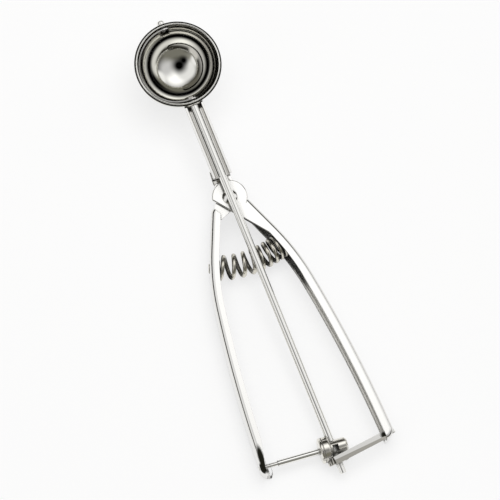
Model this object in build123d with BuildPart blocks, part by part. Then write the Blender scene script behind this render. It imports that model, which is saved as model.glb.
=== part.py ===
from build123d import *
import math
import os

os.makedirs("parts", exist_ok=True)

# Lever ice cream scoop, millimetres.  +Y runs from the handles to the bowl, +X is the side
# of the squeezed handle, +Z is up.  The origin is on the resting plane, under the middle of
# the scoop's length and width.

# ---------------------------------------------------------------- driving dimensions
sheet = 1.0                     # stainless sheet of the handles, eyes and neck
seat_fit = 0.02                 # gap between pieces that are pressed or riveted together
turn_fit = 0.05                 # radial gap of everything that turns in a hole
slide_gap = 0.05                # gap between flat faces that slide on each other
moving_gap = 0.35               # free space round parts that only pass each other

# Handles: a pair of pressed channels, open towards each other
handle_height = 14.5
channel_depth = 4.35            # from the open lips to the outside of the back
channel_corner = 2.0
handle_skew = -1.0              # degrees that the pair sits off the line of the rod
right_lip_start = 4.15          # across, from the pivot to where the lips start
left_lip_start = 6.8
lip_start = 6.05                # and towards the tips
splay_angle = 23.0              # degrees off the rod, beside the pivot
splay_length = 16.8
shoulder_radius = 109.0
shoulder_angle = 14.0
grip_radius = 625.0
right_grip_length = 78.5
left_grip_length = 75.1
tip_opening_length = 12.0       # scooped out of the fixed handle's tip, from the lips
tip_opening_width = 2.2

# Pivot: one rivet through the two eyes and the tongue of the neck
eye_radius = 8.2                # of the squeezed handle, on top
eye_side_offset = 5.6           # from the pivot to the straight side of that eye
eye_side_reach = 18.8           # along the lips to where the straight side ends
lower_eye_radius = 5.2          # of the fixed handle
lower_eye_root = 2.0            # along the lips to the round where its sides end
eye_edge = 0.6
eye_clearance = 0.8             # round the pivot, to the channel of the other handle
joggle_width = 2.0
washer_thickness = 0.25
washer_radius = 5.2
rivet_radius = 2.0
rivet_head_radius = 3.5
rivet_head_height = 1.2
rivet_tail_height = 0.9

# Return spring between the handles
spring_along = 23.9             # along the lips from their start to the spring's seats
spring_wire = 1.6
spring_turns = 10
spring_closed_turns = 1         # at each end, next to the seat
spring_closed_pitch = 1.75
spring_bunching = 0.3           # how much closer the coils sit at the squeezed handle
spring_points = 12              # of the wire's line, in every turn
seat_base_radius = 5.4
seat_base_height = 0.8
seat_boss_height = 3.0
seat_boss_gap = 0.4
seat_shank_radius = 1.25
seat_head_radius = 2.2
seat_head_height = 0.5

# Drive rod
rod_diameter = 3.5
rod_tail_diameter = 3.1
rod_tip_diameter = 2.4
tip_flat = 0.8                  # from the rod's line to the flat on its tip
rod_end_distance = 135.9
rod_chamfer = 0.3
rod_pivot_gap = 0.7             # from the rivet's head up to the rod
spring_distance = 30.7          # from the pivot to where the rod passes over the spring
gear_distance = 129.4

# Rack and pinion
module = 0.8
pinion_teeth = 10
pressure_angle = 20.0
rack_addendum = 0.45
root_clearance = 0.2
backlash = 0.24
pinion_face = 3.0
pinion_pin_radius = 0.5
thrust_washer_radius = 2.5
thrust_washer_thickness = 0.5
thrust_gap = 0.3                # from the thrust washer to the yoke
rack_teeth = 8
rack_skew = 5.6                 # degrees off square to the rod, with the handles open
rack_back = 1.6
rack_width = 3.6
rack_flange_gap = 0.6
rack_tenon = 2.0                # width, along the rod
rack_tenon_height = 1.6
peen_height = 0.3

# Stay from the fixed handle, with the disc that guides the rack and the yoke for the rod
stay_skew = 5.9                 # degrees off square to the rod
stay_diameter = 2.8
stay_tenon_diameter = 2.0
stay_step = 25.8                # from the rod to the step down to the tenon
stay_spigot = 2.5
disc_radius = 5.9
disc_left = 6.3
disc_right = 1.5
disc_lip = 1.3
disc_groove_width = 0.5
disc_groove_depth = 0.5
disc_edge = 0.9
yoke_radius = 3.5
yoke_right = 6.5
yoke_chamfer = 0.8
yoke_window_length = 3.0        # along the rod
yoke_window_width = 2.7
yoke_window_place = (0.9, -0.8)

# Bowl and sweeper
bowl_distance = 64.3
bowl_radius = 18.3
bowl_wall = 0.9
bowl_band = 3.0                 # from the rod's line up to the rim
rim_bead_radius = 0.85
sweeper_gap = 0.3
sweeper_thickness = 0.6
sweeper_width = 6.4
sweeper_rest_angle = 10.0       # degrees below the rim, at the fixed handle's side
sweeper_nut_radius = 2.1
sweeper_nut_height = 1.1
bush_radius = 2.6
bush_flange_radius = 3.2
bush_flange_height = 1.0
tip_pin_radius = 1.2
tip_pin_inner_length = 0.5
tip_head_radius = 1.8
tip_head_height = 3.2
tip_head_round = 1.1

# Neck: a half-round trough under the rod, with a flat tongue to the pivot
neck_end_distance = 9.3
neck_width = 8.9
neck_lip = 0.6                  # lips of the trough above the rod's line
tongue_width = 9.0
tongue_back = 5.6
tongue_round = 4.0
ramp_start = 10.2
ramp_length = 3.6
ramp_bend = 1.2

# ---------------------------------------------------------------- worked out from them
pitch_radius = module * pinion_teeth / 2
tip_radius = pitch_radius + module
root_radius = pitch_radius - rack_addendum - root_clearance
pitch = math.pi * module

eye_top = handle_height / 2
right_eye_under = eye_top - sheet
left_eye_top = right_eye_under - slide_gap - washer_thickness
left_eye_under = left_eye_top - sheet
tongue_under = left_eye_under - sheet

rod_radius = rod_diameter / 2
rod_over_pivot = eye_top + slide_gap + rivet_head_height + rod_pivot_gap + rod_radius
rack_top = eye_top - sheet - rack_flange_gap
rod_at_gear = rack_top - rack_back - root_clearance - module - pitch_radius
rod_slope = math.atan2(rod_over_pivot - rod_at_gear, gear_distance)
rod_over_spring = rod_over_pivot - spring_distance * math.tan(rod_slope)
spring_diameter = 2 * (rod_over_spring - rod_radius - moving_gap)
yoke_to_gear = yoke_radius + thrust_gap + thrust_washer_thickness + pinion_face / 2
stay_distance = gear_distance - yoke_to_gear * math.cos(rod_slope)

bowl_outer = bowl_radius + bowl_wall
sweeper_outer = bowl_radius - sweeper_gap
sweeper_inner = sweeper_outer - sweeper_thickness
far_end = bowl_distance + (bowl_outer + tip_head_height) * math.cos(rod_slope)


def lip_line(side, overrun=0):
    """Line of one handle's open lips in its own flat, from the pivot to the tip."""
    heading = -90 + side * splay_angle
    across = right_lip_start if side > 0 else left_lip_start
    reach = right_grip_length if side > 0 else left_grip_length
    along = Vector(1, 0).rotate(Axis.Z, heading)
    bent = along.rotate(Axis.Z, -side * shoulder_angle)
    grip_angle = math.degrees((reach + overrun) / grip_radius)
    with BuildLine() as lips:
        start = Vector(side * across, -lip_start) - along * overrun
        run = PolarLine(start, splay_length + overrun, heading)
        shoulder = JernArc(run @ 1, along, shoulder_radius, -side * shoulder_angle)
        JernArc(shoulder @ 1, bent, grip_radius, -side * grip_angle)
    return lips.wire()


def band_point(side, distance, offset):
    """Point of a handle's plan: along its lips, then out towards its back."""
    lips = lip_line(side)
    along = lips.tangent_at(distance, position_mode=PositionMode.LENGTH)
    foot = lips.position_at(distance, position_mode=PositionMode.LENGTH)
    return foot + along.rotate(Axis.Z, side * 90) * offset


def handle_band(plane, side, half_width):
    """Plan of a closed tube along the lips, rounded at both ends."""
    with BuildSketch(plane) as band:
        with BuildLine():
            add(lip_line(side))
            offset(amount=half_width, kind=Kind.ARC, side=Side.BOTH, mode=Mode.REPLACE)
        make_face()
    return band.sketch


# The pivot stands over the middle of the footprint, half a handle above the resting plane.
skewed = Plane.XY.rotated((0, 0, handle_skew))
right_reach = handle_band(skewed, 1, channel_depth).bounding_box().max.X
left_reach = -handle_band(skewed, -1, channel_depth).bounding_box().min.X
pivot = Vector((left_reach - right_reach) / 2, (rod_end_distance - far_end) / 2, handle_height / 2)
plan = Plane(origin=pivot, x_dir=(1, 0, 0), z_dir=(0, 0, 1))
handle_plan = plan.rotated((0, 0, handle_skew))


def rod_frame(distance):
    """Plane square to the rod: x to the right, y up, z down the rod to the gear."""
    height = rod_over_pivot - distance * math.tan(rod_slope)
    fall = Vector(0, -math.cos(rod_slope), -math.sin(rod_slope))
    return Plane(origin=pivot + Vector(0, -distance, height), x_dir=(1, 0, 0), z_dir=fall)


bowl_frame = rod_frame(-bowl_distance)
gear_frame = rod_frame(gear_distance)
stay_frame = rod_frame(stay_distance)


# ---------------------------------------------------------------- handles
def open_side(side):
    """Plan of the space that a handle's lips look into."""
    inward = Side.RIGHT if side > 0 else Side.LEFT
    with BuildSketch() as space:
        with BuildLine():
            add(lip_line(side, overrun=2 * channel_depth))
            offset(amount=2 * channel_depth, side=inward, mode=Mode.REPLACE)
        make_face()
    return space.sketch


def channel(side):
    """Pressed channel with rounded corners and closed ends, open at the lips."""
    inside_corner = channel_corner - sheet
    with BuildPart() as tube:
        with BuildSketch(handle_plan.offset(-handle_height / 2)) as outline:
            add(handle_band(Plane.XY, side, channel_depth))
        extrude(amount=handle_height)
        fillet(faces().filter_by(Axis.Z).edges(), channel_corner)
    with BuildPart() as hollow:
        with BuildSketch(handle_plan.offset(sheet - handle_height / 2)):
            add(handle_band(Plane.XY, side, channel_depth - sheet))
        extrude(amount=handle_height - 2 * sheet)
        fillet(faces().filter_by(Axis.Z).edges(), inside_corner)
    with BuildPart() as shell_half:
        add(tube.part)
        add(hollow.part, mode=Mode.SUBTRACT)
        with BuildSketch(handle_plan.offset(-handle_height / 2)):
            add(open_side(side))
        extrude(amount=handle_height, mode=Mode.SUBTRACT)
    return shell_half.part


def tip_opening():
    """Plan of what is scooped out of the fixed handle's tip."""
    lips_length = lip_line(-1).length
    past_the_tip = lip_line(-1) % 1 * 2 * channel_depth
    heel = band_point(-1, lips_length - tip_opening_length, 0)
    toe = band_point(-1, lips_length, tip_opening_width)
    lip_end = band_point(-1, lips_length, 0)
    with BuildSketch() as opening:
        with BuildLine():
            Polyline(heel, toe, toe + past_the_tip, lip_end + past_the_tip, lip_end, close=True)
        make_face()
    return opening.sketch


def seat_frame(side):
    """Plane on the inside of a handle's back where the spring sits, z into the gap."""
    foot = band_point(side, spring_along, channel_depth - sheet)
    inward = (band_point(side, spring_along, 0) - foot).normalized()
    local = Plane(origin=foot, x_dir=(0, 0, 1), z_dir=inward)
    return Plane(handle_plan.location * local.location)


eye_relief = eye_radius + eye_clearance
tongue_relief = math.hypot(tongue_width / 2, tongue_back) + eye_clearance
rack_frame = Plane(gear_frame.location * Rotation(0, rack_skew, 0))
rack_root = pitch_radius + module + root_clearance
stay_heading = Vector(1, 0).rotate(Axis.Z, -stay_skew)
stay_line = Plane(origin=stay_frame.origin, x_dir=stay_heading.rotate(Axis.Z, 90), z_dir=stay_heading)
rack_line = Plane(
    origin=rack_frame.from_local_coords((0, rack_root + rack_back / 2, 0)),
    x_dir=rack_frame.y_dir,
    z_dir=rack_frame.x_dir,
)

# The upper eye is round, with one straight side that runs to the squeezed handle's lips.
side_end = band_point(1, eye_side_reach, 0)
side_turn = math.degrees(math.acos(eye_side_offset / side_end.length))
side_foot = side_end.normalized().rotate(Axis.Z, -side_turn) * eye_side_offset
side_angle = math.degrees(math.atan2(side_foot.Y, side_foot.X)) + 90
channel_flat = channel_depth - channel_corner

with BuildPart() as right_eye:
    with BuildSketch(handle_plan.offset(right_eye_under)):
        Circle(eye_radius)
        with Locations(Location((side_foot.X, side_foot.Y, 0), (0, 0, side_angle))):
            beyond = (Align.CENTER, Align.MAX)
            Rectangle(4 * eye_radius, eye_radius, align=beyond, mode=Mode.SUBTRACT)
        with BuildLine():
            root = band_point(1, 0, channel_flat)
            root_end = band_point(1, eye_side_reach, channel_flat)
            Polyline((0, 0), root, root_end, side_end, side_foot, close=True)
        make_face()
    extrude(amount=sheet)
    fillet(faces().sort_by(Axis.Z)[-1].edges(), eye_edge)

with BuildPart() as right_handle:
    add(channel(1))
    with BuildSketch(plan.offset(-handle_height / 2)):
        Circle(tongue_relief)
    extrude(amount=handle_height, mode=Mode.SUBTRACT)
    add(right_eye.part)
    with BuildSketch(plan):
        Circle(rivet_radius + turn_fit)
    extrude(amount=handle_height, mode=Mode.SUBTRACT)
    with BuildSketch(seat_frame(1)):
        Circle(seat_shank_radius + seat_fit)
    extrude(amount=-2 * sheet, mode=Mode.SUBTRACT)
    with BuildSketch(rack_line):
        Rectangle(rack_tenon_height + 2 * seat_fit, rack_tenon + 2 * seat_fit)
    extrude(amount=right_reach + channel_depth, mode=Mode.SUBTRACT)
right_handle.part.label = "right_handle"
export_step(right_handle.part, "parts/right_handle.step")

# The fixed handle's eye is set down by a step, so that it lies under the other one.
with BuildSketch() as lower_eye:
    Circle(lower_eye_radius)
    with Locations(band_point(-1, lower_eye_root, channel_depth / 2)):
        Circle(channel_depth / 2)
    make_hull()

with BuildPart() as left_handle:
    add(channel(-1))
    with BuildSketch(plan.offset(-handle_height / 2)):
        Circle(eye_relief)
    extrude(amount=handle_height, mode=Mode.SUBTRACT)
    with BuildSketch(handle_plan.offset(left_eye_under)):
        add(lower_eye.sketch)
        Circle(eye_relief + joggle_width, mode=Mode.INTERSECT)
    extrude(amount=sheet)
    with BuildSketch(handle_plan.offset(left_eye_under)):
        Circle(eye_relief + joggle_width)
        Circle(eye_relief, mode=Mode.SUBTRACT)
        add(handle_band(Plane.XY, -1, channel_flat), mode=Mode.INTERSECT)
        add(open_side(-1), mode=Mode.SUBTRACT)
    extrude(amount=eye_top - left_eye_under)
    with BuildSketch(handle_plan.offset(sheet - handle_height / 2)):
        add(tip_opening())
    extrude(amount=handle_height, mode=Mode.SUBTRACT)
    with BuildSketch(plan):
        Circle(rivet_radius + seat_fit)
    extrude(amount=handle_height, mode=Mode.SUBTRACT)
    with BuildSketch(seat_frame(-1)):
        Circle(seat_shank_radius + seat_fit)
    extrude(amount=-2 * sheet, mode=Mode.SUBTRACT)
    with BuildSketch(stay_line):
        Circle(stay_tenon_diameter / 2 + seat_fit)
    extrude(amount=-(left_reach + channel_depth), mode=Mode.SUBTRACT)
left_handle.part.label = "left_handle"
export_step(left_handle.part, "parts/left_handle.step")


# ---------------------------------------------------------------- bowl and neck
bead_line = bowl_radius + rim_bead_radius

with BuildPart() as bowl:
    with BuildSketch(bowl_frame):
        with BuildLine():
            outside = CenterArc((0, 0), bowl_outer, -90, 90)
            inside = CenterArc((0, 0), bowl_radius, -90, 90)
            band = Polyline(outside @ 1, (bowl_outer, bowl_band), (bowl_radius, bowl_band), inside @ 1)
            Line(outside @ 0, inside @ 0)
        make_face()
        with Locations((bead_line, bowl_band)):
            Circle(rim_bead_radius)
    revolve(axis=Axis(bowl_frame.origin, bowl_frame.y_dir))
    with BuildSketch(bowl_frame):
        Circle(bush_radius + seat_fit)
    extrude(amount=2 * bowl_radius, mode=Mode.SUBTRACT)
    with BuildSketch(bowl_frame):
        Circle(tip_pin_radius + seat_fit)
    extrude(amount=-2 * bowl_radius, mode=Mode.SUBTRACT)
bowl.part.label = "bowl"
export_step(bowl.part, "parts/bowl.step")

neck_frame = rod_frame(-neck_end_distance)
neck_radius = neck_width / 2
neck_length = (bowl_distance - neck_end_distance) / math.cos(rod_slope)
strap_height = tongue_under + sheet / 2
ramp_end = ramp_start + ramp_length
rod_over_ramp = rod_over_pivot + ramp_end * math.tan(rod_slope)
ramp_top = rod_over_ramp - (neck_radius - sheet / 2) / math.cos(rod_slope)

with BuildPart() as neck:
    with BuildSketch(neck_frame):
        Circle(neck_radius)
        Rectangle(neck_width, neck_lip, align=(Align.CENTER, Align.MIN))
        with Locations((0, neck_lip)):
            Rectangle(neck_width, neck_width, align=(Align.CENTER, Align.MIN), mode=Mode.SUBTRACT)
    extrude(amount=-neck_length)
    with BuildSketch(Plane(origin=pivot, x_dir=(0, 1, 0), z_dir=(1, 0, 0))):
        with BuildLine():
            strap_corners = [(-tongue_back, strap_height), (ramp_start, strap_height), (ramp_end, ramp_top)]
            strap_line = FilletPolyline(*strap_corners, radius=ramp_bend)
        trace(strap_line, sheet)
    extrude(amount=tongue_width / 2, both=True)
    fillet(edges().filter_by(Axis.Z).group_by(Axis.Y)[0], tongue_round)
    with BuildSketch(neck_frame):
        Circle(neck_radius - sheet)
        Rectangle(neck_width - 2 * sheet, neck_width, align=(Align.CENTER, Align.MIN))
    extrude(amount=-neck_length, mode=Mode.SUBTRACT)
    with Locations(bowl_frame.location):
        Sphere(bowl_outer, mode=Mode.SUBTRACT)
    with BuildSketch(plan):
        Circle(rivet_radius + seat_fit)
    extrude(amount=handle_height, mode=Mode.SUBTRACT)
neck.part.label = "neck"
export_step(neck.part, "parts/neck.step")


# ---------------------------------------------------------------- pivot
rivet_head_under = eye_top + slide_gap
rivet_dome = (rivet_head_radius**2 + rivet_head_height**2) / (2 * rivet_head_height)

with BuildPart() as pivot_rivet:
    with BuildSketch(Plane(origin=pivot, x_dir=(1, 0, 0), z_dir=(0, -1, 0))):
        with BuildLine():
            head_edge = (rivet_head_radius, rivet_head_under)
            head_top = (0, rivet_head_under + rivet_head_height)
            RadiusArc(head_top, head_edge, rivet_dome)
            shank = [
                head_edge,
                (rivet_radius, rivet_head_under),
                (rivet_radius, tongue_under),
                (rivet_head_radius, tongue_under),
                (rivet_radius, tongue_under - rivet_tail_height),
                (0, tongue_under - rivet_tail_height),
                head_top,
            ]
            Polyline(*shank)
        make_face()
    revolve(axis=Axis(pivot, (0, 0, 1)))
pivot_rivet.part.label = "pivot_rivet"
export_step(pivot_rivet.part, "parts/pivot_rivet.step")

with BuildPart() as pivot_washer:
    with BuildSketch(plan.offset(left_eye_top)):
        Circle(washer_radius)
        Circle(rivet_radius + seat_fit, mode=Mode.SUBTRACT)
    extrude(amount=washer_thickness)
pivot_washer.part.label = "pivot_washer"
export_step(pivot_washer.part, "parts/pivot_washer.step")


# ---------------------------------------------------------------- return spring and its seats
seat_boss_radius = spring_diameter / 2 - spring_wire - seat_boss_gap


def spring_seat(side, handle):
    """Turned button riveted through a handle's back; its boss holds the spring's end."""
    seat = seat_frame(side)
    with BuildPart() as button:
        with BuildSketch(seat):
            Circle(seat_base_radius)
        extrude(amount=seat_base_height)
        with BuildSketch(seat):
            Circle(seat_boss_radius)
        extrude(amount=seat_base_height + seat_boss_height)
        chamfer(faces().sort_by(Axis(seat.origin, seat.z_dir))[-1].edges(), seat_boss_gap)
        add(handle, mode=Mode.SUBTRACT)
        with BuildSketch(seat.offset(seat_base_height)):
            Circle(seat_shank_radius)
        extrude(amount=-(seat_base_height + sheet))
        with BuildSketch(seat.offset(-sheet)):
            Circle(seat_head_radius)
        extrude(amount=-seat_head_height)
        chamfer(faces().sort_by(Axis(seat.origin, seat.z_dir))[0].edges(), seat_head_height / 2)
    return button.part


left_spring_seat = spring_seat(-1, left_handle.part)
left_spring_seat.label = "left_spring_seat"
export_step(left_spring_seat, "parts/left_spring_seat.step")

right_spring_seat = spring_seat(1, right_handle.part)
right_spring_seat.label = "right_spring_seat"
export_step(right_spring_seat, "parts/right_spring_seat.step")

coil_radius = (spring_diameter - spring_wire) / 2

with BuildLine() as spring_axis:
    left_end = seat_frame(-1).offset(seat_base_height + spring_wire / 2 + seat_fit)
    right_end = seat_frame(1).offset(seat_base_height + spring_wire / 2 + seat_fit)
    TangentArc(left_end.origin, right_end.origin, tangent=left_end.z_dir)


def coil_points():
    """Centre points of the wire: closed end turns, and open ones that bunch to the right."""
    line = spring_axis.wire()
    open_turns = spring_turns - 2 * spring_closed_turns
    free_pitch = (line.length - 2 * spring_closed_turns * spring_closed_pitch) / open_turns
    travelled = 0
    points = []
    for step in range(int(spring_turns * spring_points) + 1):
        centre = line.position_at(travelled, position_mode=PositionMode.LENGTH)
        along = line.tangent_at(travelled, position_mode=PositionMode.LENGTH)
        spoke = along.cross(Vector(0, 0, 1)).rotate(Axis((0, 0, 0), along), -360 * step / spring_points)
        points.append(centre + spoke * coil_radius)
        share = ((step + 0.5) / spring_points - spring_closed_turns) / open_turns
        rate = spring_closed_pitch
        if 0 < share < 1:
            rate = free_pitch * (1 + spring_bunching * (1 - 2 * share))
        travelled = min(travelled + rate / spring_points, line.length)
    return points


with BuildPart() as spring:
    with BuildLine() as coil:
        Spline(*coil_points())
    with BuildSketch(Plane(origin=coil.line @ 0, z_dir=coil.line % 0)):
        Circle(spring_wire / 2)
    sweep(is_frenet=True)
spring.part.label = "spring"
export_step(spring.part, "parts/spring.step")


# ---------------------------------------------------------------- drive rod
# Along the rod, places in the bowl are measured from the bowl's centre.
tip_rod_radius = rod_tip_diameter / 2
rod_shoulder = sweeper_outer
nut_seat = math.sqrt(sweeper_inner**2 - sweeper_nut_radius**2)
nut_end = nut_seat - sweeper_nut_height
rod_span = (gear_distance + bowl_distance) / math.cos(rod_slope)
rod_tail = (rod_end_distance - gear_distance) / math.cos(rod_slope) + pinion_face / 2
pinion_north = gear_frame.offset(-pinion_face / 2)
pin_line = Plane(origin=gear_frame.origin, x_dir=(0, 1, 0), z_dir=(1, 0, 0))
sweep_frame = Plane(bowl_frame.location * Rotation(0, 0, sweeper_rest_angle))


def flatted_tip(extra):
    """Section of the rod's tip: a round with one flat, which turns the sweeper."""
    with BuildSketch() as section:
        Circle(tip_rod_radius + extra)
        with Locations((0, tip_flat + extra)):
            Rectangle(rod_diameter, rod_diameter, align=(Align.CENTER, Align.MIN), mode=Mode.SUBTRACT)
    return section.sketch


with BuildPart() as drive_rod:
    with BuildSketch(bowl_frame.offset(rod_shoulder)):
        Circle(rod_radius)
    extrude(amount=rod_span - rod_shoulder - pinion_face / 2)
    with BuildSketch(sweep_frame.offset(rod_shoulder)):
        add(flatted_tip(0))
    extrude(amount=nut_end - rod_shoulder - peen_height)
    with BuildSketch(pinion_north):
        Circle(rod_tail_diameter / 2)
    extrude(amount=rod_tail)
    chamfer(faces().sort_by(Axis(gear_frame.origin, gear_frame.z_dir))[-1].edges(), rod_chamfer)
    with BuildSketch(pin_line):
        Circle(pinion_pin_radius + seat_fit)
    extrude(amount=rod_diameter, both=True, mode=Mode.SUBTRACT)
drive_rod.part.label = "drive_rod"
export_step(drive_rod.part, "parts/drive_rod.step")

with BuildPart() as rod_bush:
    with BuildSketch(bowl_frame.offset(bowl_outer + bush_flange_height)):
        Circle(bush_flange_radius)
    extrude(amount=-(bush_flange_height + bowl_wall / 2))
    chamfer(faces().sort_by(Axis(bowl_frame.origin, bowl_frame.z_dir))[-1].edges(), rod_chamfer)
    add(bowl.part, mode=Mode.SUBTRACT)
    with BuildSketch(bowl_frame.offset(bowl_radius)):
        Circle(bush_radius)
    extrude(amount=bowl_wall)
    with BuildSketch(bowl_frame.offset(bowl_radius)):
        Circle(rod_radius + turn_fit)
    extrude(amount=bowl_radius, mode=Mode.SUBTRACT)
rod_bush.part.label = "rod_bush"
export_step(rod_bush.part, "parts/rod_bush.step")


# ---------------------------------------------------------------- sweeper in the bowl
with BuildPart() as sweeper:
    with Locations(sweep_frame.location):
        Sphere(sweeper_outer)
        Sphere(sweeper_inner, mode=Mode.SUBTRACT)
    with BuildSketch(sweep_frame):
        Circle(sweeper_width / 2)
        Rectangle(sweeper_outer, sweeper_width, align=(Align.MAX, Align.CENTER))
    extrude(amount=sweeper_outer, both=True, mode=Mode.INTERSECT)
    with BuildSketch(sweep_frame):
        add(flatted_tip(seat_fit))
    extrude(amount=bowl_radius, mode=Mode.SUBTRACT)
    with BuildSketch(sweep_frame):
        Circle(tip_pin_radius + turn_fit)
    extrude(amount=-bowl_radius, mode=Mode.SUBTRACT)
sweeper.part.label = "sweeper"
export_step(sweeper.part, "parts/sweeper.step")

with BuildPart() as sweeper_nut:
    with BuildSketch(sweep_frame.offset(nut_end)):
        RegularPolygon(sweeper_nut_radius, side_count=6)
        add(flatted_tip(seat_fit), mode=Mode.SUBTRACT)
    extrude(amount=sweeper_nut_height)
sweeper_nut.part.label = "sweeper_nut"
export_step(sweeper_nut.part, "parts/sweeper_nut.step")

with BuildPart() as tip_pin:
    with BuildSketch(bowl_frame.offset(-bowl_outer - tip_head_height)):
        Circle(tip_head_radius)
    extrude(amount=tip_head_height + bowl_wall / 2)
    fillet(faces().sort_by(Axis(bowl_frame.origin, bowl_frame.z_dir))[0].edges(), tip_head_round)
    add(bowl.part, mode=Mode.SUBTRACT)
    with BuildSketch(bowl_frame.offset(-bowl_outer)):
        Circle(tip_pin_radius)
    extrude(amount=bowl_outer - sweeper_inner + tip_pin_inner_length)
tip_pin.part.label = "tip_pin"
export_step(tip_pin.part, "parts/tip_pin.step")


# ---------------------------------------------------------------- pinion
base_radius = pitch_radius * math.cos(math.radians(pressure_angle))
tooth_half = (pitch / 2 - backlash) / (2 * pitch_radius)


def involute_angle(radius):
    """Angle that the involute flank has turned by at a radius, in radians."""
    roll = math.sqrt(max(radius**2 / base_radius**2 - 1, 0))
    return roll - math.atan(roll)


def flank_point(radius, side):
    """Point of a tooth's flank, the tooth standing on the Y axis."""
    lean = tooth_half + involute_angle(pitch_radius) - involute_angle(radius)
    return Vector(0, radius).rotate(Axis.Z, side * math.degrees(lean))


flank_steps = 4
flank_radii = [base_radius + (tip_radius - base_radius) * n / flank_steps for n in range(flank_steps + 1)]

with BuildSketch() as pinion_tooth:
    with BuildLine():
        left_flank = Spline(*[flank_point(radius, 1) for radius in flank_radii])
        right_flank = Spline(*[flank_point(radius, -1) for radius in flank_radii])
        ThreePointArc(left_flank @ 1, (0, tip_radius), right_flank @ 1)
        Polyline(left_flank @ 0, flank_point(0, 1), right_flank @ 0)
    make_face()

with BuildPart() as pinion:
    with BuildSketch(pinion_north):
        Circle(root_radius)
        with PolarLocations(0, pinion_teeth):
            add(pinion_tooth.sketch)
        Circle(rod_tail_diameter / 2 + seat_fit, mode=Mode.SUBTRACT)
    extrude(amount=pinion_face)
    with BuildSketch(pin_line):
        Circle(pinion_pin_radius + seat_fit)
    extrude(amount=pitch_radius, both=True, mode=Mode.SUBTRACT)
pinion.part.label = "pinion"
export_step(pinion.part, "parts/pinion.step")

with BuildPart() as pinion_pin:
    with BuildSketch(pin_line):
        Circle(pinion_pin_radius)
    extrude(amount=root_radius, both=True)
pinion_pin.part.label = "pinion_pin"
export_step(pinion_pin.part, "parts/pinion_pin.step")

with BuildPart() as thrust_washer:
    with BuildSketch(pinion_north.offset(-thrust_washer_thickness)):
        Circle(thrust_washer_radius)
        Circle(rod_radius + seat_fit, mode=Mode.SUBTRACT)
    extrude(amount=thrust_washer_thickness)
thrust_washer.part.label = "thrust_washer"
export_step(thrust_washer.part, "parts/thrust_washer.step")


# ---------------------------------------------------------------- rack
flank_lean = math.tan(math.radians(pressure_angle))
rack_tooth_width = pitch / 2 - backlash
rack_tooth_root = rack_tooth_width + 2 * (rack_root - pitch_radius) * flank_lean
rack_tooth_height = rack_root - pitch_radius + rack_addendum
rack_tip = -pitch / 2 - rack_tooth_root / 2
rack_swing = gear_distance * (1 - math.cos(math.radians(rack_skew))) + moving_gap
rack_shoulder = right_reach - channel_depth
rack_end = (right_reach + peen_height) / math.cos(math.radians(rack_skew))

with BuildPart() as rack:
    with BuildSketch(rack_frame):
        with Locations((rack_tip, rack_root)):
            Rectangle(rack_shoulder - rack_tip, rack_back, align=(Align.MIN, Align.MIN))
        with Locations(*[(pitch * (n - 0.5), rack_root) for n in range(rack_teeth)]):
            Trapezoid(
                rack_tooth_root,
                rack_tooth_height,
                90 - pressure_angle,
                rotation=180,
                align=(Align.CENTER, Align.MIN),
            )
    extrude(amount=rack_width / 2, both=True)
    with BuildSketch(rack_line.offset(rack_shoulder)):
        Rectangle(rack_tenon_height, rack_tenon)
    extrude(amount=rack_end - rack_shoulder)
    chamfer(faces().sort_by(Axis(rack_line.origin, rack_line.z_dir))[-1].edges(), peen_height)
rack.part.label = "rack"
export_step(rack.part, "parts/rack.step")


# ---------------------------------------------------------------- stay, guide disc and yoke
stay_plan = Plane(origin=stay_frame.origin, x_dir=stay_heading, z_dir=(0, 0, 1))
stay_radius = stay_diameter / 2
stay_tenon_radius = stay_tenon_diameter / 2
stay_end = left_reach / math.cos(math.radians(stay_skew)) + peen_height

with BuildPart() as stay_bar:
    with BuildSketch(stay_line.offset(-stay_step)):
        Circle(stay_radius)
    extrude(amount=stay_step - disc_left)
    with BuildSketch(stay_line.offset(-stay_end)):
        Circle(stay_tenon_radius)
    extrude(amount=stay_end - disc_left + stay_spigot)
    chamfer(faces().sort_by(Axis.X)[0].edges(), peen_height)
stay_bar.part.label = "stay_bar"
export_step(stay_bar.part, "parts/stay_bar.step")

with BuildPart() as yoke:
    with BuildSketch(stay_line.offset(-disc_left)):
        Circle(yoke_radius)
    extrude(amount=disc_left + yoke_right)
    chamfer(faces().sort_by(Axis.X)[-1].edges(), yoke_chamfer)
    with BuildSketch(stay_line.offset(-disc_left)):
        Circle(stay_tenon_radius + seat_fit)
    extrude(amount=stay_spigot, mode=Mode.SUBTRACT)
    with BuildSketch(stay_frame):
        Circle(rod_radius + turn_fit)
    extrude(amount=2 * yoke_radius, both=True, mode=Mode.SUBTRACT)
    with BuildSketch(stay_plan):
        with Locations(yoke_window_place):
            Rectangle(yoke_window_width, yoke_window_length)
    extrude(amount=yoke_radius, mode=Mode.SUBTRACT)
yoke.part.label = "yoke"
export_step(yoke.part, "parts/yoke.step")

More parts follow.
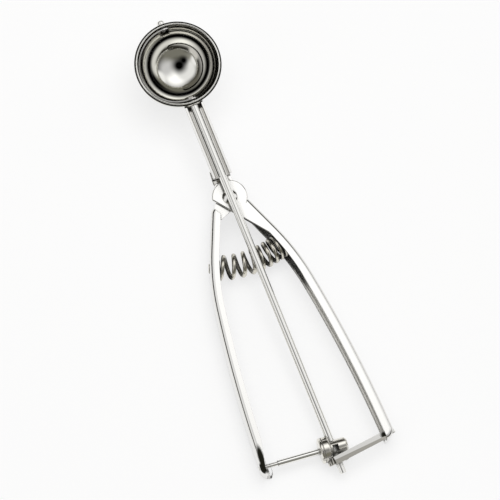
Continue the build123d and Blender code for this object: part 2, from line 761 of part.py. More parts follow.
with BuildPart() as guide_disc:
    with BuildSketch(stay_line.offset(-disc_left)):
        Circle(disc_radius)
    extrude(amount=disc_left - disc_right)
    fillet(edges().group_by(Axis.X)[0] + edges().group_by(Axis.X)[-1], disc_edge)
    with BuildSketch(stay_line.offset(disc_lip - disc_left)):
        Circle(disc_radius)
        Circle(disc_radius - disc_groove_depth, mode=Mode.SUBTRACT)
    extrude(amount=disc_groove_width, mode=Mode.SUBTRACT)
    with BuildSketch(stay_line.offset(-disc_left)):
        Circle(yoke_radius + seat_fit)
    extrude(amount=disc_left, mode=Mode.SUBTRACT)
    with BuildSketch(pinion_north.offset(-moving_gap)):
        Circle(tip_radius + moving_gap)
    extrude(amount=disc_radius, mode=Mode.SUBTRACT)
    with BuildSketch(pinion_north.offset(-thrust_washer_thickness - moving_gap)):
        Circle(thrust_washer_radius + moving_gap)
    extrude(amount=disc_radius, mode=Mode.SUBTRACT)
    with BuildSketch(stay_frame):
        Circle(rod_radius + moving_gap)
    extrude(amount=2 * disc_radius, both=True, mode=Mode.SUBTRACT)
    with BuildSketch(gear_frame):
        with Locations((0, pitch_radius - rack_addendum - moving_gap)):
            Rectangle(4 * disc_radius, disc_radius, align=(Align.CENTER, Align.MIN))
    extrude(amount=rack_width / 2 + rack_swing, both=True, mode=Mode.SUBTRACT)
guide_disc.part.label = "guide_disc"
export_step(guide_disc.part, "parts/guide_disc.step")
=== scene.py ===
import math

import bpy
from mathutils import Matrix, Vector


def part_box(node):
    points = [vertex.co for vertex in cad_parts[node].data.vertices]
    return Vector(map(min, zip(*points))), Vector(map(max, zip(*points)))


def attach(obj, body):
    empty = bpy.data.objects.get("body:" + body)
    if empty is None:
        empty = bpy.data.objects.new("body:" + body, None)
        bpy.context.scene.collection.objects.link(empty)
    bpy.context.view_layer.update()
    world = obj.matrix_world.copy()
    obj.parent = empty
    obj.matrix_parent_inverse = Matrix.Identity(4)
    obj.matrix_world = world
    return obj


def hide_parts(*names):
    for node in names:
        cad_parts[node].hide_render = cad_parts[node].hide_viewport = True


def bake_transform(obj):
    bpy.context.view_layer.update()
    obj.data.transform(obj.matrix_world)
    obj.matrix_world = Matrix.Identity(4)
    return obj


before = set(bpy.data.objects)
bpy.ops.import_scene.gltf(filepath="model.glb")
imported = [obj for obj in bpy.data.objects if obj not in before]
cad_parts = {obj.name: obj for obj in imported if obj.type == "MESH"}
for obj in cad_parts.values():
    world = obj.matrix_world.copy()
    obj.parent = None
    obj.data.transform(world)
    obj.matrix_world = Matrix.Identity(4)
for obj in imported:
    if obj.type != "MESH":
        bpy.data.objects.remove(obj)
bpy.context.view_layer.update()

bl_info = {
    "name": "Lever ice cream scoop",
    "version": (1, 0, 0),
    "blender": (4, 5, 0),
    "location": "View3D > Sidebar > Scoop",
    "description": "Bowl, spring, finishes and studio for a lever ice cream scoop",
    "category": "Object",
}

MM = 0.001


def linear(code):
    """Linear colour of an sRGB hex value."""
    parts = [int(code[n : n + 2], 16) / 255 for n in (1, 3, 5)]
    return [c / 12.92 if c <= 0.04045 else ((c + 0.055) / 1.055) ** 2.4 for c in parts]


def colour(label, text, code):
    """Colour property with an sRGB default."""
    return bpy.props.FloatVectorProperty(
        name=label, description=text, subtype="COLOR", size=3, min=0, max=1, default=linear(code)
    )


def length(label, text, value):
    """Length property in metres."""
    return bpy.props.FloatProperty(name=label, description=text, unit="LENGTH", default=value)


# ------------------------------------------------------------------ what a user would change
class ScoopFinishes(bpy.types.PropertyGroup):
    sheet_colour: colour("Sheet steel", "Polished sheet of the handles and neck", "#EAE9E6")
    bowl_colour: colour("Bowl steel", "Spun and mirror polished steel of the bowl", "#ECEBE6")
    rod_colour: colour("Rod steel", "Centreless ground rod and stay", "#F3F2EE")
    strip_colour: colour("Strip steel", "Rolled strip of the sweeper", "#D2D0CC")
    turned_colour: colour("Turned steel", "Turned bushes, disc and gear", "#E7E4DC")
    # Painted shade: a near black ring round the bowl's rim, under the roll.
    rim_shade_colour: colour("Raw edge", "Sheared edge, dark with polishing compound", "#23221E")
    # Painted shade: the darker grey of the rack's lower side.
    rack_shade: colour("Rack's lower side", "Milled side under the polished one", "#B9B6AE")
    wire_colour: colour("Spring wire", "Drawn wire of the return spring", "#DAD6CA")


class ScoopBowl(bpy.types.PropertyGroup):
    radius: length("Inner radius", "Radius of the bowl's polished inside", 19.15 * MM)
    wall: length("Wall", "Thickness of the bowl's wall", 0.6 * MM)
    raised: length("Raised centre", "Height of the ball's centre above the rod's line", 1 * MM)
    rim: length("Rim", "Height of the rim above the rod's line", 3 * MM)
    roll: length("Roll", "Radius of the rolled edge's section", 0.42 * MM)
    # The lip is the ring under the roll that carries the painted rim shade.
    lip: length("Raw lip", "How far the raw lip shows past the roll", 0.6 * MM)
    outside: length("Outer radius", "Radius to the outside of the raw lip", 20 * MM)


class ScoopSpring(bpy.types.PropertyGroup):
    wire: length("Wire", "Diameter of the spring's wire", 1.95 * MM)
    outside: length("Outside", "Outer diameter of the coils", 12 * MM)
    closed_pitch: length("Closed pitch", "Pitch of the end turns against the seats", 1.9 * MM)
    turns: bpy.props.FloatProperty(name="Turns", description="Turns of the spring", default=9.5)
    bunching: bpy.props.FloatProperty(
        name="Bunching",
        description="How much closer the coils sit at the squeezed handle",
        subtype="FACTOR",
        default=0.42,
    )


class ScoopStage(bpy.types.PropertyGroup):
    floor_colour: colour("Floor", "Pale floor under the scoop", "#FFFFFF")
    floor_glow: bpy.props.FloatProperty(
        name="Floor white",
        description="Share of plain white in the floor as seen",
        subtype="FACTOR",
        default=0.7,
    )
    lamp: bpy.props.FloatProperty(
        name="Lamp", description="Power of the overhead lamp", unit="POWER", default=14
    )
    camera_place: bpy.props.FloatVectorProperty(
        name="Camera place",
        description="Where the camera stands, in the scoop's own frame",
        subtype="TRANSLATION",
        unit="LENGTH",
        size=3,
        default=(-0.155425, -0.262897, 1.154800),
    )
    camera_turn: bpy.props.FloatVectorProperty(
        name="Camera turn",
        description="Pitch, roll and yaw of the camera",
        subtype="EULER",
        size=3,
        default=(math.radians(14.773), math.radians(-2.456), math.radians(-21.635)),
    )
    lens: bpy.props.FloatProperty(
        name="Lens", description="Focal length on a 36 mm sensor, in millimetres", default=187.2
    )


# ------------------------------------------------------------------ materials
PAINTED_SHADE = linear("#1D1D16")  # painted shade: near black, with no shine, put where shade falls
PAINTED_SHADE_ROUGHNESS = 0.55  # what the painted shade adds to the steel's own roughness
SMEAR_SIZE = 9  # mm, about a fingertip: handling leaves patches of another gloss
GLOSS_RANGE = (0.1, 0.45)  # what marks times smears give over most of a piece
MARK_DEPTH = 0.02  # mm, of a polishing mark
OPEN_SKY = (0.3, 0.72)  # share of open sky at which the painted shade is full, and at which it is gone
FACING_RANGE = (0.3, 0.6)  # how well a wall faces a shade patch's way, from not at all to fully
SHADE_SOFTNESS = 0.1  # mm, to each side of the line where the rack's lower side starts
WAVE_PHASE = 20  # the wave texture's phase is this many times its scale times the distance


def add_node(tree, kind, values=None, links=None, **settings):
    """Adds a node with its settings, its sockets' values and its links."""
    node = tree.nodes.new(kind)
    for name, value in settings.items():
        setattr(node, name, value)
    for socket, value in (values or {}).items():
        node.inputs[socket].default_value = value
    for socket, source in (links or {}).items():
        tree.links.new(source, node.inputs[socket])
    return node


def new_material(name):
    """Empty node material."""
    material = bpy.data.materials.new(name)
    material.use_nodes = True
    material.node_tree.nodes.clear()
    return material, material.node_tree


def shade_patch_share(tree, where, spot, full, gone, stretch=1, lean=0, facing=None):
    """Share of a patch of painted shade, all of it within full mm of spot.

    Past gone mm there is none. The patch may be stretched along Y and leant round Z, and it
    may keep to walls that face one way."""
    local = add_node(
        tree,
        "ShaderNodeMapping",
        {"Location": spot, "Rotation": (0, 0, lean), "Scale": (1, stretch, 1)},
        {"Vector": where.outputs["Object"]},
        vector_type="TEXTURE",
    )
    far = add_node(
        tree, "ShaderNodeVectorMath", links={0: local.outputs["Vector"]}, operation="LENGTH"
    )
    share = add_node(
        tree,
        "ShaderNodeMapRange",
        {"From Min": gone * MM, "From Max": full * MM},
        {"Value": far.outputs["Value"]},
        interpolation_type="SMOOTHSTEP",
    ).outputs["Result"]
    if facing:
        surface = add_node(tree, "ShaderNodeNewGeometry")
        turned_to = add_node(
            tree,
            "ShaderNodeVectorMath",
            {1: facing},
            {0: surface.outputs["True Normal"]},
            operation="DOT_PRODUCT",
        )
        wall = add_node(
            tree,
            "ShaderNodeMapRange",
            {"From Min": FACING_RANGE[0], "From Max": FACING_RANGE[1]},
            {"Value": turned_to.outputs["Value"]},
        )
        share = add_node(
            tree,
            "ShaderNodeMath",
            links={0: share, 1: wall.outputs["Result"]},
            operation="MULTIPLY",
        ).outputs["Value"]
    return share


def lathe_rings(tree, centred, apart):
    """Turning marks round a piece's axis, apart mm from one to the next."""
    rings = add_node(
        tree,
        "ShaderNodeTexWave",
        {
            "Scale": math.tau / (WAVE_PHASE * apart * MM),
            "Distortion": 1.2,
            "Detail": 3,
            "Detail Scale": 3,
        },
        {"Vector": centred.outputs["Vector"]},
        wave_type="RINGS",
        rings_direction="Z",
    )
    return rings.outputs["Fac"]


def polishing_marks(tree, centred, grain):
    """Marks of the polishing belt, with their size in mm along X, Y and Z."""
    stretched = add_node(
        tree,
        "ShaderNodeMapping",
        {"Scale": [1 / (size * MM) for size in grain]},
        {"Vector": centred.outputs["Vector"]},
    )
    marks = add_node(
        tree,
        "ShaderNodeTexNoise",
        {"Scale": 1, "Detail": 4, "Roughness": 0.6},
        {"Vector": stretched.outputs["Vector"]},
    )
    return marks.outputs["Fac"]


def steel(
    name,
    tint,
    roughness,
    grain,
    place=(0, 0, 0),
    turn=(0, 0, 0),
    rings=False,
    spread=0.05,
    edge=0.15,
    crevice_shade=0.6,
    reach=7,
    shade_patches=(),
    shaded_side=None,
):
    """Polished steel, for every piece of the scoop.

    Its marks have the size of grain, in mm along X, Y and Z, or are rings round the place, as
    far apart as grain's first size. Roughness varies by spread, and edges are rounded by edge
    mm. Where other faces stand within reach mm, painted shade, black and dull, darkens it by
    the share that crevice_shade gives, and each shade patch is a patch of painted shade.
    shaded_side is a spot, the way to the unshaded side, and the painted shade colour below it."""
    material, tree = new_material(name)
    where = add_node(tree, "ShaderNodeTexCoord")
    centred = add_node(
        tree,
        "ShaderNodeMapping",
        {"Location": place, "Rotation": turn},
        {"Vector": where.outputs["Object"]},
        vector_type="TEXTURE",
    )
    mark = lathe_rings(tree, centred, grain[0]) if rings else polishing_marks(tree, centred, grain)
    smear = add_node(
        tree,
        "ShaderNodeTexNoise",
        {"Scale": 1 / (SMEAR_SIZE * MM), "Detail": 2},
        {"Vector": centred.outputs["Vector"]},
    )
    gloss = add_node(
        tree, "ShaderNodeMath", links={0: mark, 1: smear.outputs["Fac"]}, operation="MULTIPLY"
    )
    rough = add_node(
        tree,
        "ShaderNodeMapRange",
        {
            "From Min": GLOSS_RANGE[0],
            "From Max": GLOSS_RANGE[1],
            "To Min": max(roughness - spread, 0.01),
            "To Max": roughness + spread,
        },
        {"Value": gloss.outputs["Value"]},
    ).outputs["Result"]
    round_edge = add_node(tree, "ShaderNodeBevel", {"Radius": edge * MM}, samples=4)
    bump = add_node(
        tree,
        "ShaderNodeBump",
        {"Strength": 0.05, "Distance": MARK_DEPTH * MM},
        {"Height": mark, "Normal": round_edge.outputs["Normal"]},
    )

    # How far the steel is left unshaded: 1 is bare metal, and 0 is all painted shade, which is
    # black and dull.
    unshaded = None
    if crevice_shade:
        open_sky = add_node(
            tree, "ShaderNodeAmbientOcclusion", {"Distance": reach * MM}, samples=8
        )
        unshaded = add_node(
            tree,
            "ShaderNodeMapRange",
            {
                "From Min": OPEN_SKY[0],
                "From Max": OPEN_SKY[1],
                "To Min": 1 - crevice_shade,
                "To Max": 1,
            },
            {"Value": open_sky.outputs["AO"]},
            interpolation_type="SMOOTHSTEP",
        ).outputs["Result"]
    for shade_patch in shade_patches:
        share = shade_patch_share(tree, where, **shade_patch)
        left = add_node(tree, "ShaderNodeMath", {0: 1}, {1: share}, operation="SUBTRACT")
        left = left.outputs["Value"]
        if unshaded:
            left = add_node(
                tree, "ShaderNodeMath", links={0: unshaded, 1: left}, operation="MULTIPLY"
            ).outputs["Value"]
        unshaded = left

    values = {"Specular IOR Level": 0.05}
    links = {"Normal": bump.outputs["Normal"], "Roughness": rough}
    if unshaded:
        tone = add_node(
            tree,
            "ShaderNodeMix",
            {6: (*PAINTED_SHADE, 1), 7: (*tint, 1)},
            {0: unshaded},
            data_type="RGBA",
        ).outputs[2]
        # Painted shade: below the line through the spot, the colour turns to the shade colour.
        if shaded_side:
            spot, upwards, shade_below = shaded_side
            offset = add_node(
                tree,
                "ShaderNodeVectorMath",
                {1: spot},
                {0: where.outputs["Object"]},
                operation="SUBTRACT",
            )
            above = add_node(
                tree,
                "ShaderNodeVectorMath",
                {1: upwards},
                {0: offset.outputs["Vector"]},
                operation="DOT_PRODUCT",
            )
            below = add_node(
                tree,
                "ShaderNodeMapRange",
                {"From Min": SHADE_SOFTNESS * MM, "From Max": -SHADE_SOFTNESS * MM},
                {"Value": above.outputs["Value"]},
            )
            tone = add_node(
                tree,
                "ShaderNodeMix",
                {7: (*shade_below, 1)},
                {0: below.outputs["Result"], 6: tone},
                data_type="RGBA",
            ).outputs[2]
        dull = add_node(tree, "ShaderNodeMath", {0: 1}, {1: unshaded}, operation="SUBTRACT")
        dulled = add_node(
            tree,
            "ShaderNodeMath",
            {1: PAINTED_SHADE_ROUGHNESS},
            {0: dull.outputs["Value"], 2: rough},
            operation="MULTIPLY_ADD",
            use_clamp=True,
        )
        links.update(
            {"Base Color": tone, "Metallic": unshaded, "Roughness": dulled.outputs["Value"]}
        )
    else:
        values.update({"Base Color": (*tint, 1), "Metallic": 1})
    shader = add_node(tree, "ShaderNodeBsdfPrincipled", values, links)
    add_node(tree, "ShaderNodeOutputMaterial", links={"Surface": shader.outputs["BSDF"]})
    return material


def dress(material, *names):
    """Gives CAD nodes their material."""
    for name in names:
        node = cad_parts[name]
        node.data.materials.clear()
        node.data.materials.append(material)


# ------------------------------------------------------------------ the scoop's own places
# In the scoop's frame, in metres.
BOWL_PLACE = Vector((3.42125, 88.94706, 24.11321)) * MM  # on the rod's line, at the bowl
BOWL_TILT = math.radians(5.2544)
SPRING_ENDS = (
    Vector((-14.61398, -2.60722, 7.25)) * MM,
    Vector((17.84473, -3.17379, 7.25)) * MM,
)
SPRING_START = Vector((0.9380832, -0.3464100, 0))  # the way it leaves the left handle
INWARDS = (-1, 0, 0)  # the way the squeezed handle's inner wall faces

# Patches of painted shade on the handles and the neck.
NECK_END = (0.0013, 0.0363, 0.0080)
RIVET_GAP = (0.0018, 0.0255, 0.0090)  # between the handles, just below the rivet
SPRING_SHADE = (  # down the squeezed handle's inner wall: place, then full and gone in mm
    ((0.0080, 0.0130, 0.0120), 5, 10),
    ((0.0138, 0.0010, 0.0080), 9, 13),
    ((0.0195, -0.0120, 0.0090), 8, 14),
)
LEFT_TIP = (-0.0291, -0.0923, 0.0142)
LEFT_TIP_END = (-0.0297, -0.0968, 0.0130)
TIP_LEAN = math.radians(-6)
RACK_ROOT = (0.0262, -0.1028)  # in X and Y, where the rack leaves the squeezed handle
RACK_UPWARDS = (-0.063, 0.998, 0)  # square to the rack, to its side without painted shade

ROUND_THE_BOWL = 144  # faces round the bowl and its rim
COIL_STEPS = 48  # points in one turn of the spring


def active(name):
    """Names the piece that was just added and hands it back."""
    piece = bpy.context.object
    piece.name = name
    return piece


def add_hoop(name, middle, outside, section, material):
    """Ring of round section that lies round the bowl's mouth."""
    bpy.ops.object.select_all(action="DESELECT")
    bpy.ops.mesh.primitive_torus_add(
        location=middle,
        rotation=(BOWL_TILT, 0, 0),
        major_radius=outside - section,
        minor_radius=section,
        major_segments=ROUND_THE_BOWL,
        minor_segments=20,
    )
    hoop = active(name)
    bpy.ops.object.transform_apply()
    bpy.ops.object.shade_smooth()
    hoop.data.materials.append(material)
    return hoop


class SCOOP_OT_bowl(bpy.types.Operator):
    """Bowl, spun from sheet with a rolled edge and mirror polished, and the sweeper in it"""

    bl_idname = "scoop.bowl"
    bl_label = "Finish the bowl"

    def execute(self, context):
        finishes, sizes = context.scene.scoop_finishes, context.scene.scoop_bowl
        up = Matrix.Rotation(BOWL_TILT, 3, "X") @ Vector((0, 0, 1))
        middle = BOWL_PLACE + up * sizes.raised

        # Stainless sheet, spun over a former and mirror polished on the lathe: it mirrors the
        # room in rings. Real turning marks are too fine to show, and these are drawn 3 mm
        # apart, so that they soften the rings a little.
        spun = steel(
            "spun_mirror_stainless",
            finishes.bowl_colour,
            0.035,
            (3.14, 3.14, 3.14),
            place=middle,
            turn=(BOWL_TILT, 0, 0),
            rings=True,
            spread=0.025,
            crevice_shade=0,
        )
        # A thin black line round the rim, under the roll: a ring of painted shade.
        # One patch of painted shade, wider than the bowl, covers all of it.
        rim_shade = steel(
            "painted_rim_shade",
            finishes.rim_shade_colour,
            0.4,
            (0.3, 0.3, 0.3),
            shade_patches=(dict(spot=BOWL_PLACE, full=60, gone=70),),
        )
        mouth = BOWL_PLACE + up * sizes.rim
        under = BOWL_PLACE + up * (sizes.rim - sizes.roll / 2)
        hoops = (
            add_hoop("bowl_roll", mouth, sizes.outside - sizes.lip, sizes.roll, spun),
            add_hoop("bowl_rim_shade_ring", under, sizes.outside, sizes.roll, rim_shade),
        )

        bpy.ops.object.select_all(action="DESELECT")
        bpy.ops.mesh.primitive_uv_sphere_add(
            segments=ROUND_THE_BOWL,
            ring_count=96,
            radius=sizes.radius,
            location=middle,
            rotation=(BOWL_TILT, 0, 0),
        )
        shell = active("spun_bowl")
        bpy.ops.object.transform_apply()
        bpy.ops.object.mode_set(mode="EDIT")
        bpy.ops.mesh.select_all(action="SELECT")
        just_above = middle + up * 1e-6  # so that the ball's widest ring of points stays
        bpy.ops.mesh.bisect(plane_co=just_above, plane_no=up, clear_outer=True)
        bpy.ops.mesh.select_all(action="DESELECT")
        bpy.ops.mesh.select_mode(type="EDGE")
        bpy.ops.mesh.select_non_manifold(
            extend=False, use_wire=False, use_multi_face=False, use_non_contiguous=False
        )
        band = up * (sizes.rim - sizes.raised)
        bpy.ops.mesh.extrude_region_move(TRANSFORM_OT_translate={"value": band})
        bpy.ops.object.mode_set(mode="OBJECT")
        wall = shell.modifiers.new("wall", "SOLIDIFY")
        wall.thickness, wall.offset = sizes.wall, 1
        bpy.ops.object.modifier_apply(modifier="wall")
        bpy.ops.object.shade_smooth()
        shell.data.materials.append(spun)
        for hoop in hoops:
            hoop.select_set(True)
        bpy.ops.object.join()
        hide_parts("bowl")
        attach(shell, "frame")

        # Stainless strip, cold rolled: bright, with the mill's marks along it, drawn wider
        # than real ones, and painted shade, near black, where it lies close to the bowl's wall.
        rolled = steel(
            "rolled_strip_stainless",
            finishes.strip_colour,
            0.07,
            (0.3, 4, 4),
            place=middle,
            crevice_shade=0.9,
        )
        dress(rolled, "sweeper")
        return {"FINISHED"}


class SCOOP_OT_handles(bpy.types.Operator):
    """Handles and neck, pressed from stainless sheet and buffed, with the rivet"""

    bl_idname = "scoop.handles"
    bl_label = "Finish the handles"

    def execute(self, context):
        finishes = context.scene.scoop_finishes
        # Stainless sheet, buffed along the handles: plain white flats and soft bright edges.
        # Painted shade darkens the channels and crevices, with patches of painted shade below the
        # rivet, down the squeezed handle's inner wall, at the left tip and where the rack goes in.
        # Real marks are too fine to show, and these are drawn half a millimetre wide.
        rivet_gap = dict(spot=RIVET_GAP, full=0.7, gone=1.5)
        spring_shade = [
            dict(spot=spot, full=full, gone=gone, facing=INWARDS)
            for spot, full, gone in SPRING_SHADE
        ]
        leaf = dict(spot=LEFT_TIP, full=0.9, gone=1.7, stretch=4.4, lean=TIP_LEAN)
        leaf_end = dict(spot=LEFT_TIP_END, full=2.1, gone=3.0)
        rack_corner = dict(spot=(*RACK_ROOT, 0.0100), full=1.6, gone=3.2)
        buffed = steel(
            "buffed_sheet_stainless",
            finishes.sheet_colour,
            0.07,
            (0.5, 12, 0.5),
            edge=0.25,
            crevice_shade=0.9,
            shade_patches=(rivet_gap, *spring_shade, leaf, leaf_end, rack_corner),
        )
        dress(buffed, "left_handle", "right_handle")

        # The same sheet, drawn into a trough and polished inside and out: a bright wall on
        # each side of the rod. The rivet's head is polished with it. Patches of painted shade
        # darken the neck's end and the gap under the rivet.
        neck_end = dict(spot=NECK_END, full=1.2, gone=3)
        under_rivet = dict(spot=RIVET_GAP, full=0.7, gone=1.6)
        drawn = steel(
            "drawn_trough_stainless",
            finishes.sheet_colour,
            0.09,
            (0.5, 12, 0.5),
            edge=0.25,
            crevice_shade=0,
            shade_patches=(neck_end, under_rivet),
        )
        dress(drawn, "neck", "pivot_rivet")
        return {"FINISHED"}


class SCOOP_OT_rod(bpy.types.Operator):
    """Rod, stay and tip pin, centreless ground and polished, and the milled rack"""

    bl_idname = "scoop.rod"
    bl_label = "Finish the rod"

    def execute(self, context):
        finishes = context.scene.scoop_finishes
        # Bar steel, centreless ground and polished: a white band down its length between two
        # fine dark lines. The wheel's marks run across it, coarser than real ones, to show.
        # Painted shade darkens it where other parts stand within 22 mm.
        ground = steel(
            "ground_rod_stainless",
            finishes.rod_colour,
            0.1,
            (6, 0.25, 6),
            crevice_shade=0.85,
            reach=22,
        )
        dress(ground, "drive_rod", "stay_bar", "tip_pin")

        # Milled bar steel: a bright strip over its lower side, painted grey as shade, and a patch
        # of painted shade where it leaves the squeezed handle.
        low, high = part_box("rack")
        milled = steel(
            "milled_rack_stainless",
            finishes.rod_colour,
            0.05,
            (6, 0.25, 6),
            shade_patches=(dict(spot=(*RACK_ROOT, 0.0120), full=1.4, gone=2.8),),
            shaded_side=((low + high) / 2, RACK_UPWARDS, finishes.rack_shade),
        )
        dress(milled, "rack")
        return {"FINISHED"}


class SCOOP_OT_turned(bpy.types.Operator):
    """Turned bushes, washers, spring seats, guide disc, yoke and gear"""

    bl_idname = "scoop.turned"
    bl_label = "Finish the turned pieces"

    def execute(self, context):
        finishes = context.scene.scoop_finishes
        # Stainless bar, turned and tumbled: satin, a little warmer than the sheet, with painted
        # shade, near black, in its grooves and where other parts stand close. Its fine speckle is
        # coarser than a real one, so that it shows.
        turned = steel(
            "turned_satin_stainless",
            finishes.turned_colour,
            0.13,
            (0.3, 0.3, 0.3),
            crevice_shade=0.85,
        )
        dress(
            turned,
            "pivot_washer",
            "left_spring_seat",
            "right_spring_seat",
            "rod_bush",
            "guide_disc",
            "yoke",
            "pinion",
            "pinion_pin",
            "thrust_washer",
            "sweeper_nut",
        )
        return {"FINISHED"}


class SCOOP_OT_spring(bpy.types.Operator):
    """Return spring, cold wound from bright drawn wire"""

    bl_idname = "scoop.spring"
    bl_label = "Make the spring"

    def coil_points(self, sizes, start, end):
        """Middle of the wire along its coils, which bunch towards the squeezed handle."""
        chord = end - start
        across = Vector((-SPRING_START.y, SPRING_START.x, 0))
        radius = chord.length_squared / (2 * chord.dot(across))
        centre = start + across * radius
        bow, side = abs(radius), math.copysign(1, radius)
        whole = 2 * math.asin(chord.length / (2 * bow)) * bow
        open_turns = sizes.turns - 2
        pitch = (whole - 2 * sizes.closed_pitch) / open_turns
        travelled, points = 0.0, []
        for step in range(round(sizes.turns * COIL_STEPS) + 1):
            turn = Matrix.Rotation(side * travelled / bow, 3, "Z")
            along = turn @ SPRING_START
            wound = Matrix.Rotation(-math.tau * step / COIL_STEPS, 3, along)
            spoke = wound @ along.cross((0, 0, 1))
            on_bow = centre + turn @ (start - centre)
            points.append(on_bow + spoke * (sizes.outside - sizes.wire) / 2)
            share = ((step + 0.5) / COIL_STEPS - 1) / open_turns
            rate = sizes.closed_pitch
            if 0 < share < 1:
                rate = pitch * (1 + sizes.bunching * (1 - 2 * share))
            travelled = min(travelled + rate / COIL_STEPS, whole)
        return points

    def execute(self, context):
        finishes, sizes = context.scene.scoop_finishes, context.scene.scoop_spring
        start, end = SPRING_ENDS
        points = self.coil_points(sizes, start, end)
        bpy.ops.object.select_all(action="DESELECT")
        line = bpy.data.curves.new("return_spring", "CURVE")
        line.dimensions = "3D"
        line.bevel_depth, line.bevel_resolution = sizes.wire / 2, 5
        line.use_fill_caps = True
        wire = line.splines.new("POLY")
        wire.points.add(len(points) - 1)
        for spot, point in zip(wire.points, points):
            spot.co = (*point, 1)
        wire.use_smooth = True
        spring = bpy.data.objects.new("return_spring", line)
        context.scene.collection.objects.link(spring)
        spring.select_set(True)
        bpy.context.view_layer.objects.active = spring
        bpy.ops.object.convert(target="MESH")
        spring = active("return_spring")
        # Spring steel wire, bright drawn: a white glint along each coil, and painted shade, near
        # black, below it and between the coils. The die's marks are drawn coarser than real ones.
        drawn = steel(
            "drawn_wire_steel",
            finishes.wire_colour,
            0.06,
            (0.3, 0.3, 0.3),
            crevice_shade=1,
            reach=14,
        )
        spring.data.materials.clear()
        spring.data.materials.append(drawn)
        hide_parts("spring")
        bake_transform(spring)
        return {"FINISHED"}


# ------------------------------------------------------------------ stage
FLOOR_SIZE = 16  # m, far past the view
FLOOR_GAP = 0.02  # mm, so that the handles don't share a plane with the paper
LAMP_PLACE = (0.1, 0.2, 1.6)
LAMP_SIZE = 1.6  # m, wide enough for a soft shadow
SENSOR = 36  # mm


def direction(azimuth, polar):
    """Way to a place in the studio, in degrees from +Y towards +X and from straight up."""
    azimuth, polar = math.radians(azimuth), math.radians(polar)
    level = math.sin(polar)
    return (level * math.sin(azimuth), level * math.cos(azimuth), math.cos(polar))


def round_panel(tree, way, behind, azimuth, polar, inner, outer, light):
    """Round soft panel or dark card, full out to inner and gone at outer, in degrees."""
    nearness = add_node(
        tree,
        "ShaderNodeVectorMath",
        {1: direction(azimuth, polar)},
        {0: way},
        operation="DOT_PRODUCT",
    )
    off = add_node(
        tree, "ShaderNodeMath", links={0: nearness.outputs["Value"]}, operation="ARCCOSINE"
    )
    share = add_node(
        tree,
        "ShaderNodeMapRange",
        {"From Min": math.radians(outer), "From Max": math.radians(inner)},
        {"Value": off.outputs["Value"]},
        interpolation_type="SMOOTHSTEP",
    )
    panel = add_node(
        tree,
        "ShaderNodeMix",
        {7: (*light, 1)},
        {0: share.outputs["Result"], 6: behind},
        data_type="RGBA",
    )
    return panel.outputs[2]


# The room is dim and a little warm, with a pale wall all round at the floor's height. Panels
# hang in front of each other in this order: azimuth, polar, inner and outer angle in degrees,
# and light, as shares of plain white.
ROOM = (0.045, 0.043, 0.036)
WALL = (0.92, 0.92, 0.92)
WALL_TOP = (0.17, 0.13)  # sine of the height where the wall is gone, and where it is full
PANELS = (
    (190, 42, 24, 48, (0.2, 0.195, 0.165)),  # grey card behind the handles
    (-100, 50, 12, 34, (0.3, 0.295, 0.26)),  # grey card to the left
    (43, 11, 16, 50, (1.35, 1.35, 1.35)),  # big overhead panel
    (-76, 24, 20, 36, (0.9, 0.9, 0.9)),  # panel at the upper left
    (124, 31, 6, 35, (0.65, 0.65, 0.66)),  # dimmer panel at the right
    (-95, 60, 8, 20, (0.95, 0.95, 0.95)),  # low strip to the left
    (85, 55, 12, 24, (1.0, 1.0, 1.0)),  # low strip to the right
    (-128, 36, 3, 20, (0.0, 0.0, 0.0)),  # black card
    (-143, 18, 7, 32, (0.0, 0.0, 0.0)),  # black card round the camera
)


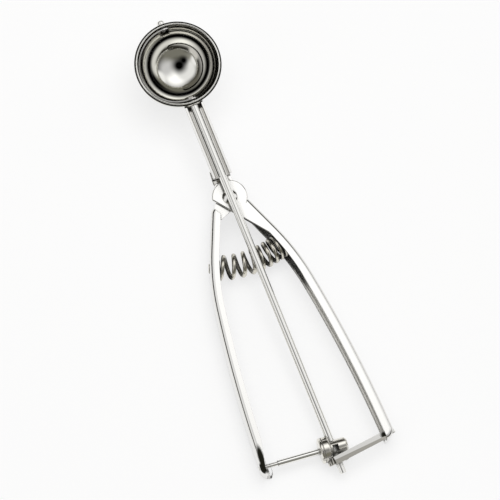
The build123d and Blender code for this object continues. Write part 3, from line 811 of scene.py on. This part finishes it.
class SCOOP_OT_stage(bpy.types.Operator):
    """White floor and wall, a dim room with panels and cards, a lamp and the camera"""

    bl_idname = "scoop.stage"
    bl_label = "Set the stage"

    def add_floor(self, stage):
        """Wide sheet of white paper, just clear of the scoop."""
        bpy.ops.object.select_all(action="DESELECT")
        bpy.ops.mesh.primitive_plane_add(size=FLOOR_SIZE, location=(0, 0, -FLOOR_GAP * MM))
        floor = active("floor")
        bpy.ops.object.transform_apply(location=True, rotation=False, scale=False)
        # Seamless paper: matt white, with part of plain white where it is seen, so that the
        # scoop's soft shadow stays.
        material, tree = new_material("white_seamless_paper")
        white = (*stage.floor_colour, 1)
        paper = add_node(
            tree,
            "ShaderNodeBsdfPrincipled",
            {"Base Color": white, "Roughness": 0.8, "Specular IOR Level": 0.1},
        )
        glow = add_node(tree, "ShaderNodeEmission", {"Color": white, "Strength": 1})
        ray = add_node(tree, "ShaderNodeLightPath")
        seen = add_node(
            tree,
            "ShaderNodeMath",
            links={0: ray.outputs["Is Camera Ray"], 1: ray.outputs["Is Glossy Ray"]},
        )
        seen = add_node(
            tree,
            "ShaderNodeMath",
            links={0: seen.outputs["Value"], 1: ray.outputs["Is Transmission Ray"]},
            use_clamp=True,
        )
        lit = add_node(
            tree,
            "ShaderNodeMath",
            {1: stage.floor_glow},
            {0: seen.outputs["Value"]},
            operation="MULTIPLY",
        )
        mixed = add_node(
            tree,
            "ShaderNodeMixShader",
            links={
                0: lit.outputs["Value"],
                1: paper.outputs["BSDF"],
                2: glow.outputs["Emission"],
            },
        )
        add_node(tree, "ShaderNodeOutputMaterial", links={"Surface": mixed.outputs["Shader"]})
        floor.data.materials.append(material)

    def add_room(self, context):
        """The room round the scoop, as the world."""
        world = bpy.data.worlds.new("studio")
        context.scene.world = world
        world.use_nodes = True
        tree = world.node_tree
        tree.nodes.clear()
        way = add_node(tree, "ShaderNodeTexCoord").outputs["Generated"]
        light = add_node(tree, "ShaderNodeRGB").outputs[0]
        light.default_value = (*ROOM, 1)
        for panel in PANELS:
            light = round_panel(tree, way, light, *panel)
        height = add_node(tree, "ShaderNodeSeparateXYZ", links={"Vector": way})
        gone, full = WALL_TOP
        wall = add_node(
            tree,
            "ShaderNodeMapRange",
            {"From Min": gone, "From Max": full},
            {"Value": height.outputs["Z"]},
            interpolation_type="SMOOTHSTEP",
        )
        light = add_node(
            tree,
            "ShaderNodeMix",
            {7: (*WALL, 1)},
            {0: wall.outputs["Result"], 6: light},
            data_type="RGBA",
        ).outputs[2]
        studio = add_node(tree, "ShaderNodeBackground", {"Strength": 1}, {"Color": light})
        add_node(
            tree, "ShaderNodeOutputWorld", links={"Surface": studio.outputs["Background"]}
        )

    def add_lamp(self, stage):
        """Overhead disc that lights the floor and shows in no reflection."""
        bpy.ops.object.select_all(action="DESELECT")
        bpy.ops.object.light_add(type="AREA", location=LAMP_PLACE)
        lamp = active("overhead_softbox")
        lamp.data.shape, lamp.data.size = "DISK", LAMP_SIZE
        lamp.data.energy = stage.lamp
        lamp.visible_glossy = False

    def add_camera(self, context, stage):
        """Camera that looks down on the scoop from over the handles' ends."""
        bpy.ops.object.select_all(action="DESELECT")
        bpy.ops.object.camera_add(location=stage.camera_place)
        camera = bpy.context.object
        pitch, roll, yaw = (
            Matrix.Rotation(angle, 3, axis) for angle, axis in zip(stage.camera_turn, "XYZ")
        )
        camera.rotation_euler = (yaw @ pitch @ roll).to_euler()
        camera.data.sensor_width = SENSOR
        camera.data.lens = stage.lens
        camera.data.clip_start, camera.data.clip_end = 0.05, 20
        context.scene.camera = camera

    def execute(self, context):
        stage = context.scene.scoop_stage
        self.add_floor(stage)
        self.add_room(context)
        self.add_lamp(stage)
        self.add_camera(context, stage)
        context.scene.view_settings.view_transform = "Standard"
        return {"FINISHED"}


STEPS = (
    SCOOP_OT_bowl,
    SCOOP_OT_handles,
    SCOOP_OT_rod,
    SCOOP_OT_turned,
    SCOOP_OT_spring,
    SCOOP_OT_stage,
)
GROUPS = {
    "scoop_finishes": ScoopFinishes,
    "scoop_bowl": ScoopBowl,
    "scoop_spring": ScoopSpring,
    "scoop_stage": ScoopStage,
}


class SCOOP_PT_panel(bpy.types.Panel):
    """Sizes, colours and steps of the scoop"""

    bl_idname = "SCOOP_PT_panel"
    bl_label = "Lever ice cream scoop"
    bl_space_type = "VIEW_3D"
    bl_region_type = "UI"
    bl_category = "Scoop"

    def draw(self, context):
        for group, kind in GROUPS.items():
            for name in kind.__annotations__:
                self.layout.prop(getattr(context.scene, group), name)
        for step in STEPS:
            self.layout.operator(step.bl_idname)


def register():
    for kind in (*GROUPS.values(), *STEPS, SCOOP_PT_panel):
        bpy.utils.register_class(kind)
    for group, kind in GROUPS.items():
        setattr(bpy.types.Scene, group, bpy.props.PointerProperty(type=kind))


def unregister():
    for group in GROUPS:
        delattr(bpy.types.Scene, group)
    for kind in (SCOOP_PT_panel, *STEPS, *GROUPS.values()):
        bpy.utils.unregister_class(kind)


def main():
    """Runs every step."""
    register()
    for step in STEPS:
        family, name = step.bl_idname.split(".")
        getattr(getattr(bpy.ops, family), name)()


if __name__ == "__main__":
    main()
